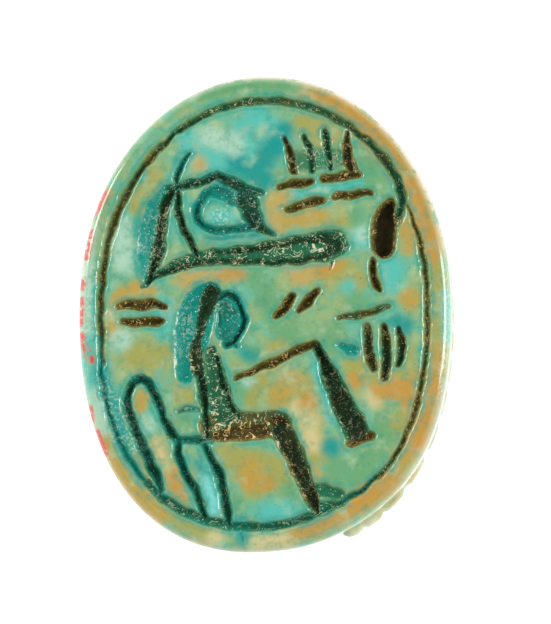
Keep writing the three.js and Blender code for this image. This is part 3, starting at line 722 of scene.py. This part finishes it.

# ------------------------------------------------------------------ the glaze
# A copper glaze fired on carved soapstone. It is blue-green and pooled thick beside every cut, and
# worn to buff, ochre and orange where it was thin. The cuts hold the dust of the ground, with pale
# lines in them that are part dust fibres, part painted reflections, and small white painted highlights.

# Each patch of colour is a line of soft spots (x, y, radius) in millimetres on the seal face.
patches = {
    "leaf": [
        [(-5.2, 5.3, 0.2), (-4.6, 6.0, 0.2)], [(0.9, 8.0, 0.3), (-0.6, 8.1, 0.2)],
        [(3.4, 5.5, 0.35), (3.9, 4.4, 0.4)], [(3.2, 3.4, 0.3)],
        [(0.9, -0.8, 0.5), (0.3, 0.4, 0.4), (-0.2, 1.2, 0.3)], [(2.4, -0.9, 0.5)], [(3.3, 0.3, 0.4)],
        [(4.5, -3.5, 0.25), (4.0, -4.4, 0.45), (3.4, -5.5, 0.5), (2.6, -5.4, 0.4)], [(-1.0, -6.7, 0.3)],
        [(-2.3, 7.7, 0.2), (-0.6, 8.1, 0.3), (1.0, 8.0, 0.25)], [(0.9, -6.1, 0.3)], [(-2.7, -3.8, 0.25)],
        [(-0.5, -2.9, 0.3), (-0.9, -2.6, 0.2)], [(-0.2, -1.5, 0.4)], [(2.4, -6.0, 0.4)],
    ],
    "blue": [
        [(-2.6, 6.2, 0.3), (-2.2, 5.6, 0.5), (-1.0, 5.5, 0.6), (-0.6, 6.4, 0.5)],
        [(-0.2, 6.9, 0.4), (0.4, 6.1, 0.5)], [(-3.5, 0.3, 0.25), (-3.5, -0.7, 0.2)],
        [(4.5, 1.5, 0.35), (4.5, 1.0, 0.3)], [(1.0, 4.15, 0.15), (2.2, 4.45, 0.2), (3.3, 4.5, 0.15)],
        [(-4.1, -3.8, 0.3)], [(0.1, -7.0, 0.3), (0.9, -6.9, 0.25)], [(6.45, 0.6, 0.1), (6.5, -1.0, 0.12)],
        [(6.3, -2.6, 0.15), (6.0, -3.9, 0.22), (5.6, -4.8, 0.2)],
        [(-6.2, 1.0, 0.2), (-6.3, -1.8, 0.3), (-6.0, -3.4, 0.25)], [(3.5, 2.6, 0.3)],
        [(-1.7, 3.4, 0.2), (-1.1, 3.4, 0.2)], [(1.75, -1.7, 0.1), (2.1, -2.6, 0.12), (2.4, -3.6, 0.12)],
        [(3.0, 0.9, 0.15)],
    ],
    "teal": [
        [(-0.9, 5.3, 0.3), (0.0, 4.7, 0.3)], [(-4.4, 4.9, 0.1)], [(-0.6, -1.4, 0.12), (-0.3, -1.5, 0.1)],
        [(0.75, 6.4, 0.25), (0.3, 5.7, 0.35), (-0.2, 5.1, 0.3)], [(2.35, -4.7, 0.25)],
        [(4.9, -0.5, 0.25), (4.6, -0.3, 0.15)],
        [(-5.75, -1.8, 0.15), (-5.45, -3.0, 0.2), (-5.0, -4.2, 0.2)],
        [(-2.0, -5.5, 0.15), (-2.25, -5.2, 0.1)], [(-0.75, -7.9, 0.12), (-0.8, -7.3, 0.15)],
        [(-2.9, 5.5, 0.15)], [(-1.9, 2.62, 0.08), (-0.2, 2.75, 0.1)], [(-2.2, 3.9, 0.1), (-1.5, 4.3, 0.12)],
        [(-1.2, 5.0, 0.1)],
    ],
    "buff": [
        [(0.4, 3.0, 0.3), (0.55, 4.0, 0.4)], [(-2.7, 1.3, 0.35), (-2.0, 1.35, 0.2)], [(-2.3, 5.3, 0.2)],
        [(1.3, 1.4, 0.4)], [(0.9, -2.4, 0.4)], [(-3.75, -4.8, 0.25)],
    ],
    "olive": [
        [(-4.0, 4.7, 0.4), (-4.45, 3.8, 0.3)], [(-4.5, -1.5, 0.5), (-3.6, -1.4, 0.4)],
        [(2.3, 6.4, 0.5), (1.5, 6.6, 0.4)], [(2.2, 1.3, 0.3), (2.9, 1.5, 0.35), (3.3, 1.1, 0.3)],
        [(-2.7, -2.7, 0.3), (-2.7, -3.1, 0.3)], [(0.4, -2.8, 0.4), (1.4, -2.5, 0.4)],
        [(-1.4, -5.0, 0.35), (-0.6, -5.2, 0.5), (0.2, -5.5, 0.5)],
        [(3.3, -1.9, 0.4), (4.2, -2.1, 0.35), (5.1, -1.6, 0.3)], [(4.9, -3.9, 0.35)],
        [(6.0, 1.5, 0.2), (6.05, -0.6, 0.25)], [(-3.0, -7.0, 0.3), (-2.0, -7.6, 0.25)],
        [(1.7, -3.9, 0.3), (1.9, -5.0, 0.3)], [(-0.4, -3.1, 0.2), (0.5, -1.3, 0.3)], [(2.2, 7.2, 0.2)],
        [(-0.3, -6.1, 0.3), (0.7, -5.6, 0.3)], [(2.6, 3.3, 0.3)], [(3.6, -6.3, 0.3)], [(-5.6, 4.3, 0.15)],
    ],
    "ochre": [
        [(1.0, 3.35, 0.3), (2.0, 3.4, 0.2)], [(-5.1, 0.5, 0.3), (-4.5, 0.85, 0.25), (-4.0, 0.9, 0.15)],
        [(5.0, 3.1, 0.3), (5.1, 2.3, 0.2)], [(5.15, 0.45, 0.3)], [(-4.25, -2.9, 0.25), (-4.35, -3.2, 0.2)],
        [(-4.4, -5.1, 0.25)], [(5.5, -2.3, 0.3), (5.3, -3.4, 0.3)], [(-5.0, -5.4, 0.3), (-4.3, -6.2, 0.3)],
        [(2.3, 6.35, 0.12)], [(-5.3, -0.6, 0.2)],
        [(-5.9, -3.9, 0.15), (-5.0, -5.9, 0.34), (-3.7, -7.0, 0.3)], [(1.6, -5.6, 0.3)], [(0.6, -2.9, 0.3)],
        [(-0.5, -5.5, 0.35)],
        [(6.0, -1.3, 0.2), (5.9, -2.4, 0.22), (5.6, -3.6, 0.22), (5.15, -4.7, 0.25), (4.7, -5.4, 0.25)],
    ],
    "orange": [
        [(-1.4, 1.45, 0.2), (-0.9, 1.4, 0.2)], [(2.1, 1.55, 0.25), (2.6, 1.7, 0.15)], [(1.6, -3.1, 0.25)],
        [(3.2, -2.4, 0.2)], [(4.1, -2.7, 0.25), (4.9, -2.7, 0.35)],
        [(-3.2, -5.6, 0.25), (-2.9, -6.4, 0.22)], [(-0.5, -5.9, 0.15)], [(0.15, -6.0, 0.2)],
        [(1.7, 7.65, 0.28), (3.0, 7.0, 0.36), (4.2, 5.8, 0.36), (5.1, 4.4, 0.36), (5.7, 2.8, 0.34),
         (5.9, 1.9, 0.2)],
        [(5.2, -3.0, 0.35)], [(6.05, -1.8, 0.15), (5.8, -3.3, 0.25), (5.35, -4.5, 0.28)],
        [(1.3, -7.6, 0.25), (2.3, -7.2, 0.3), (3.4, -6.6, 0.3), (4.5, -5.8, 0.3)],
    ],
    "cream": [
        [(3.85, -3.0, 0.25)], [(1.6, -3.7, 0.2), (1.75, -4.6, 0.25)],
        [(-0.1, -8.0, 0.3), (0.9, -7.9, 0.15)], [(1.2, -3.3, 0.2)],
        [(-3.7, -4.6, 0.15), (-3.6, -5.0, 0.12)], [(-1.7, -7.85, 0.2)], [(-5.4, 0.0, 0.15)],
    ],
    "pale": [
        [(-5.0, 3.3, 0.25), (-4.9, 1.8, 0.3)], [(-5.0, -0.9, 0.3)], [(-5.9, -2.9, 0.2), (-5.7, -4.0, 0.2)],
        [(-6.15, 3.0, 0.12), (-6.3, 1.0, 0.15), (-6.3, -0.6, 0.12)], [(-4.1, -3.9, 0.15)],
        [(-1.9, 6.3, 0.25), (-0.9, 5.9, 0.2)], [(3.5, 2.7, 0.15)], [(-0.6, -2.4, 0.1)],
    ],
    # Streaks where painted highlights, small white glints on the glaze, are strewn thick.
    "painted_glint_lines": [
        [(-2.7, 0.1, 0.02), (-2.78, -1.2, 0.02)], [(-3.85, 3.4, 0.04), (-3.98, 2.4, 0.04)],
        [(-5.65, -2.4, 0.1), (-5.1, -4.3, 0.1)], [(-6.3, 2.5, 0.12), (-6.4, -0.8, 0.12)],
        [(-5.0, -3.0, 0.05), (-4.5, -4.7, 0.05)], [(6.42, 1.5, 0.0), (6.45, -0.5, 0.0), (6.2, -3.0, 0.0)],
        [(-1.5, 3.4, 0.2)],
    ],
    "sky": [
        [(-1.95, -5.9, 0.15), (-1.75, -6.8, 0.22)], [(-1.8, -5.3, 0.1)],
    ],
}

# Traces of red on the plinth's edge, as of writing long rubbed away.
red_dashes = [
    [(-5.5, 4.27, 0.11), (-6.2, 3.45, 0.11)],
    [(-6.04, 2.87, 0.11), (-6.27, 2.05, 0.1)],
    [(-6.4, 1.15, 0.12), (-6.42, 1.0, 0.12)],
    [(-6.45, 0.5, 0.1), (-6.5, -0.3, 0.1)],
    [(-6.45, -0.75, 0.11), (-6.1, -1.6, 0.1)],
    [(-6.15, -3.3, 0.1), (-6.1, -3.8, 0.1)],
    [(-5.9, -4.15, 0.1), (-5.6, -4.85, 0.1)],
]

places = np.zeros(len(skin.vertices) * 3)
skin.vertices.foreach_get("co", places)
x, y, z = (places.reshape(-1, 3) * 1000).T
y = y - plinth_middle_y
deep = height - z
on_face = (deep < 0.75) & (np.hypot(x, y) < edge_reach(np.arctan2(y, x), rim_round * 0.98))
cut, outside, shade, dusty = np.zeros((4, len(x)))
cut[on_face], outside[on_face], shade[on_face], dusty[on_face] = carve(x[on_face], y[on_face])
back = ~on_face
cut[back], outside[back] = score(x[back], y[back], deep[back])


def note(name, amounts):
    layer = skin.attributes.new(name, "FLOAT", "POINT")
    layer.data.foreach_set("value", np.asarray(amounts, np.float32))


# The hollows under the plinth and the ledge behind the head are darkened brown, part dirt and part
# painted shade. The glaze ran thin over the plinth's arris, and is rubbed where the beetle was handled.
recess_dark, line_dark, back_dust = 0.8, 0.75, 0.72
sunk = plinth_reach(np.arctan2(y, x), 0) - np.hypot(x, y)
under_plinth = step_up(1.45, 1.55, deep) * (1 - step_up(2.9, 3.2, deep))
# Painted shade with dirt: darker brown in the waist under the plinth's overhang and on the head's ledge.
hollow_dirt_and_shade = recess_dark * step_up(0.3, 0.8, sunk) * under_plinth
shovel_ledge = step_up(2.88, 2.98, deep) * (1 - step_up(3.12, 3.3, deep))
hollow_dirt_and_shade = np.maximum(hollow_dirt_and_shade, recess_dark * step_up(7.2, 7.4, y) * shovel_ledge)
upper_right = step_up(0.6, 0.95, np.cos(np.arctan2(y, x) - math.radians(62)))
at_edge = step_up(0.03, 0.15, deep) * (1 - step_up(0.6, 0.9, deep)) * (1 - step_up(0.1, 0.32, sunk))
note("arris", at_edge * (0.25 + 0.75 * upper_right))
note("handled", step_up(0.5, 1.0, deep))
note("legs", step_up(1.5, 1.6, deep) * (1 - step_up(3.0, 3.4, deep)) * (1 - step_up(0.2, 0.45, sunk)))
shade[back] = np.maximum(line_dark * step_up(0.03, 0.12, cut), hollow_dirt_and_shade)[back]
dusty[back] = back_dust
note("face", on_face)
note("beside", np.clip(outside, -1, 1))
note("shade", shade)
note("dusty", dusty)
upper = deep < 1.0
for tint, lines in patches.items():
    amount = np.zeros(x.shape)
    for line in lines:
        gap, _ = stroke_distance(x[upper], y[upper], line)
        amount[upper] = np.maximum(amount[upper], 1 - step_up(-0.25, 0.45, gap))
    note(tint, amount)
ink = np.zeros(x.shape)
for dash in red_dashes:
    gap, _ = stroke_distance(x, y, dash)
    ink = np.maximum(ink, 1 - step_up(0.0, 0.1, gap))
note("ink", ink * step_up(0.0, 0.06, deep) * (1 - step_up(0.6, 0.9, deep)))

glaze = bpy.data.materials.new("turquoise glaze")
glaze.use_nodes = True
nodes, links = glaze.node_tree.nodes, glaze.node_tree.links
shader = nodes["Principled BSDF"]


def feed(node, sockets):
    for socket, value in sockets.items():
        if isinstance(value, bpy.types.NodeSocket):
            links.new(value, node.inputs[socket])
        else:
            node.inputs[socket].default_value = value
    return node


def colour(red, green, blue):
    """A colour from 0-255 numbers, in the even steps that light is added in."""
    shades = [c / 255 for c in (red, green, blue)]
    return (*[c / 12.92 if c <= 0.04045 else ((c + 0.055) / 1.055) ** 2.4 for c in shades], 1)


def sum_of(first, second, operation="ADD"):
    node = nodes.new("ShaderNodeMath")
    node.operation = operation
    return feed(node, {0: first, 1: second}).outputs[0]


def rise(value, low, high, end=1.0):
    node = nodes.new("ShaderNodeMapRange")
    node.interpolation_type = "SMOOTHSTEP"
    return feed(node, {0: value, 1: low, 2: high, 3: 0.0, 4: end}).outputs[0]


def over(under, paint, amount):
    node = nodes.new("ShaderNodeMix")
    node.data_type = "RGBA"
    return feed(node, {0: amount, 6: under, 7: paint}).outputs[2]


def attribute(name):
    node = nodes.new("ShaderNodeAttribute")
    node.attribute_name = name
    return node.outputs["Fac"]


place = feed(nodes.new("ShaderNodeVectorMath"), {0: nodes.new("ShaderNodeTexCoord").outputs["Object"]})
place.operation = "MULTIPLY"
place.inputs[1].default_value = (1000, 1000, 1000)
place = place.outputs[0]


def cloud(scale, detail=3.0, rough=0.55, wander=0.0, offset=0):
    """Soft noise with its grain in lumps per millimetre."""
    node = nodes.new("ShaderNodeTexNoise")
    shifted = feed(nodes.new("ShaderNodeVectorMath"), {0: place, 1: (offset, offset * 0.7, offset * 1.3)})
    sockets = {
        "Vector": shifted.outputs[0],
        "Scale": scale,
        "Detail": detail,
        "Roughness": rough,
        "Distortion": wander,
    }
    return feed(node, sockets).outputs["Fac"]


broad, blotch, grain = cloud(0.45), cloud(1.3, 4, offset=5), cloud(5, 5, 0.65, offset=9)
speck, worn = cloud(11, 4, 0.7, offset=2), cloud(0.9, 4, 0.6, 0.6, offset=13)

# The glaze itself, and the buff and ochre where it is thin.
skin_colour = over(colour(110, 182, 150), colour(150, 180, 114), rise(blotch, 0.4, 0.62))
skin_colour = over(skin_colour, colour(160, 164, 92), rise(worn, 0.5, 0.72, 0.6))
tints = {
    "leaf": colour(108, 168, 116),
    "olive": colour(166, 164, 84),
    "blue": colour(88, 192, 176),
    "buff": colour(192, 166, 92),
    "cream": colour(210, 198, 140),
    "ochre": colour(190, 158, 70),
    "orange": colour(198, 150, 64),
    "teal": colour(14, 150, 142),
    "pale": colour(172, 212, 186),
    "sky": colour(124, 214, 206),
}
ragged_edge = sum_of(sum_of(blotch, sum_of(grain, 0.45, "MULTIPLY")), 0.725, "SUBTRACT")
for tint, paint in tints.items():
    ragged = sum_of(attribute(tint), ragged_edge)
    skin_colour = over(skin_colour, paint, rise(ragged, 0.0, 1.0, 0.95))
rubbed = sum_of(attribute("handled"), rise(sum_of(worn, grain), 0.86, 1.16), "MULTIPLY")
skin_colour = over(skin_colour, colour(186, 160, 88), rubbed)
crusted = sum_of(attribute("handled"), rise(cloud(0.8, 4, 0.6, 0.4, 101), 0.5, 0.64, 0.8), "MULTIPLY")
skin_colour = over(skin_colour, colour(64, 148, 124), crusted)
skin_colour = over(skin_colour, colour(84, 150, 112), rise(sum_of(grain, broad), 1.05, 1.35, 0.5))
skin_colour = over(skin_colour, colour(66, 150, 118), rise(cloud(2.2, 4, 0.6, offset=31), 0.5, 0.75, 0.5))
skin_colour = over(skin_colour, colour(176, 208, 164), rise(cloud(1.7, 3, 0.5, offset=37), 0.52, 0.8, 0.6))

# Pooled glaze along the cuts, then their dark floors: teal where clean, green, and brown with dust.
dust = sum_of(attribute("dusty"), sum_of(sum_of(blotch, 0.5, "SUBTRACT"), 0.5, "MULTIPLY"))


def by_dust(clean, greened, brown):
    return over(over(clean, greened, rise(dust, 0.08, 0.35)), brown, rise(dust, 0.55, 0.85))


pale_legs = sum_of(attribute("legs"), rise(worn, 0.7, 0.4, 0.8), "MULTIPLY")
skin_colour = over(skin_colour, colour(206, 204, 160), pale_legs)
buff_legs = sum_of(attribute("legs"), rise(blotch, 0.5, 0.66, 0.8), "MULTIPLY")
skin_colour = over(skin_colour, colour(196, 164, 96), buff_legs)
near = sum_of(attribute("beside"), sum_of(sum_of(grain, 0.5, "SUBTRACT"), 0.3, "MULTIPLY"))
pooled = sum_of(rise(near, 0.24, 0.02), rise(worn, 0.68, 0.42), "MULTIPLY")
pool_colour = by_dust(colour(20, 156, 140), colour(76, 154, 112), colour(120, 146, 84))
skin_colour = over(skin_colour, pool_colour, sum_of(pooled, 0.75, "MULTIPLY"))
shade = attribute("shade")
uneven = sum_of(sum_of(sum_of(grain, cloud(1.6, 3, offset=91)), 1.0, "SUBTRACT"), 0.4, "MULTIPLY")
mixed_shade = sum_of(shade, sum_of(uneven, rise(shade, 0.0, 0.4), "MULTIPLY"))
wall_colour = by_dust(colour(2, 142, 126), colour(34, 112, 78), colour(102, 96, 40))
skin_colour = over(skin_colour, wall_colour, rise(mixed_shade, 0.05, 0.38))
floor_colour = by_dust(colour(14, 88, 70), colour(36, 84, 54), colour(84, 72, 26))
skin_colour = over(skin_colour, floor_colour, rise(mixed_shade, 0.42, 0.8))
bottom_colour = by_dust(colour(10, 62, 50), colour(30, 58, 34), colour(44, 36, 8))
skin_colour = over(skin_colour, bottom_colour, rise(mixed_shade, 0.72, 1.0))


def fibre_and_sheen_lines(scale, levels, width, offset):
    """Thin broken curling lines: contours of a noise."""
    contour = sum_of(cloud(scale, 1, 0.5, 1.6, offset), levels, "MULTIPLY")
    off_line = sum_of(sum_of(sum_of(contour, 0, "FRACT"), 0.5, "SUBTRACT"), 0, "ABSOLUTE")
    clustered = sum_of(cloud(1.3, 2, offset=offset + 3), cloud(3.2, 2, offset=offset + 7))
    return sum_of(rise(off_line, width, width * 0.4), rise(clustered, 1.01, 1.08), "MULTIPLY")


# Pale curling lines in the cuts: part dust fibres, part painted reflections off the glaze.
lint_and_sheen = sum_of(fibre_and_sheen_lines(1.4, 4, 0.075, 21), fibre_and_sheen_lines(1.9, 4, 0.075, 47), "MAXIMUM")
lint_and_sheen = sum_of(lint_and_sheen, fibre_and_sheen_lines(2.3, 4, 0.075, 83), "MAXIMUM")
in_cut = sum_of(rise(mixed_shade, 0.15, 0.4), attribute("face"), "MULTIPLY")
in_cut = sum_of(in_cut, rise(shade, 0.98, 0.82), "MULTIPLY")
lint_and_sheen = sum_of(lint_and_sheen, sum_of(in_cut, rise(dust, -0.05, 0.45), "MULTIPLY"), "MULTIPLY")
lint_and_sheen_colour = by_dust(colour(170, 226, 206), colour(222, 226, 182), colour(250, 210, 140))
skin_colour = over(skin_colour, lint_and_sheen_colour, sum_of(lint_and_sheen, 0.95, "MULTIPLY"))
# Painted highlights: small near-white glints strewn in the cuts and along the listed streaks.
painted_glints = sum_of(rise(cloud(13, 2, 0.6, offset=61), 0.655, 0.69), sum_of(in_cut, 0.85, "MULTIPLY"), "MULTIPLY")
painted_glint_streaks = rise(cloud(9, 3, 0.6, offset=67), 0.5, 0.62)
painted_glint_streaks = sum_of(painted_glint_streaks, sum_of(attribute("painted_glint_lines"), 0.5, "MULTIPLY"), "MULTIPLY")
painted_glints = sum_of(painted_glints, painted_glint_streaks, "MAXIMUM")
skin_colour = over(skin_colour, colour(236, 238, 214), painted_glints)
thin_edge = sum_of(attribute("arris"), rise(sum_of(blotch, grain), 0.8, 1.05, 0.9), "MULTIPLY")
skin_colour = over(skin_colour, colour(222, 206, 180), thin_edge)
pits = rise(cloud(6, 2, 0.5, offset=71), 0.27, 0.22)
pits = sum_of(pits, rise(cloud(11, 1, 0.5, offset=73), 0.24, 0.19), "MAXIMUM")
skin_colour = over(skin_colour, colour(70, 74, 36), sum_of(pits, 0.8, "MULTIPLY"))
red = sum_of(attribute("ink"), rise(grain, 0.35, 0.5), "MULTIPLY")
skin_colour = over(skin_colour, colour(212, 84, 72), red)
links.new(skin_colour, shader.inputs["Base Color"])

links.new(sum_of(rise(mixed_shade, 0.2, 0.7, 0.4), 0.24), shader.inputs["Roughness"])
links.new(rise(mixed_shade, 0.4, 0.08), shader.inputs["Coat Weight"])
bump = nodes.new("ShaderNodeBump")
rough_floor = sum_of(sum_of(speck, rise(mixed_shade, 0.2, 0.6), "MULTIPLY"), lint_and_sheen, "ADD")
surface = sum_of(sum_of(blotch, 0.8, "MULTIPLY"), sum_of(sum_of(grain, speck), 0.3, "MULTIPLY"))
surface = sum_of(surface, sum_of(rough_floor, 0.3, "MULTIPLY"))
feed(bump, {"Strength": 0.4, "Distance": 0.0001, "Height": surface})
links.new(bump.outputs[0], shader.inputs["Normal"])
shader.inputs["IOR"].default_value = 1.25
shader.inputs["Coat IOR"].default_value = 1.5
shader.inputs["Coat Roughness"].default_value = 0.1

skin.materials.clear()
skin.materials.append(glaze)
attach(amulet, "root")
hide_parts("scarab")
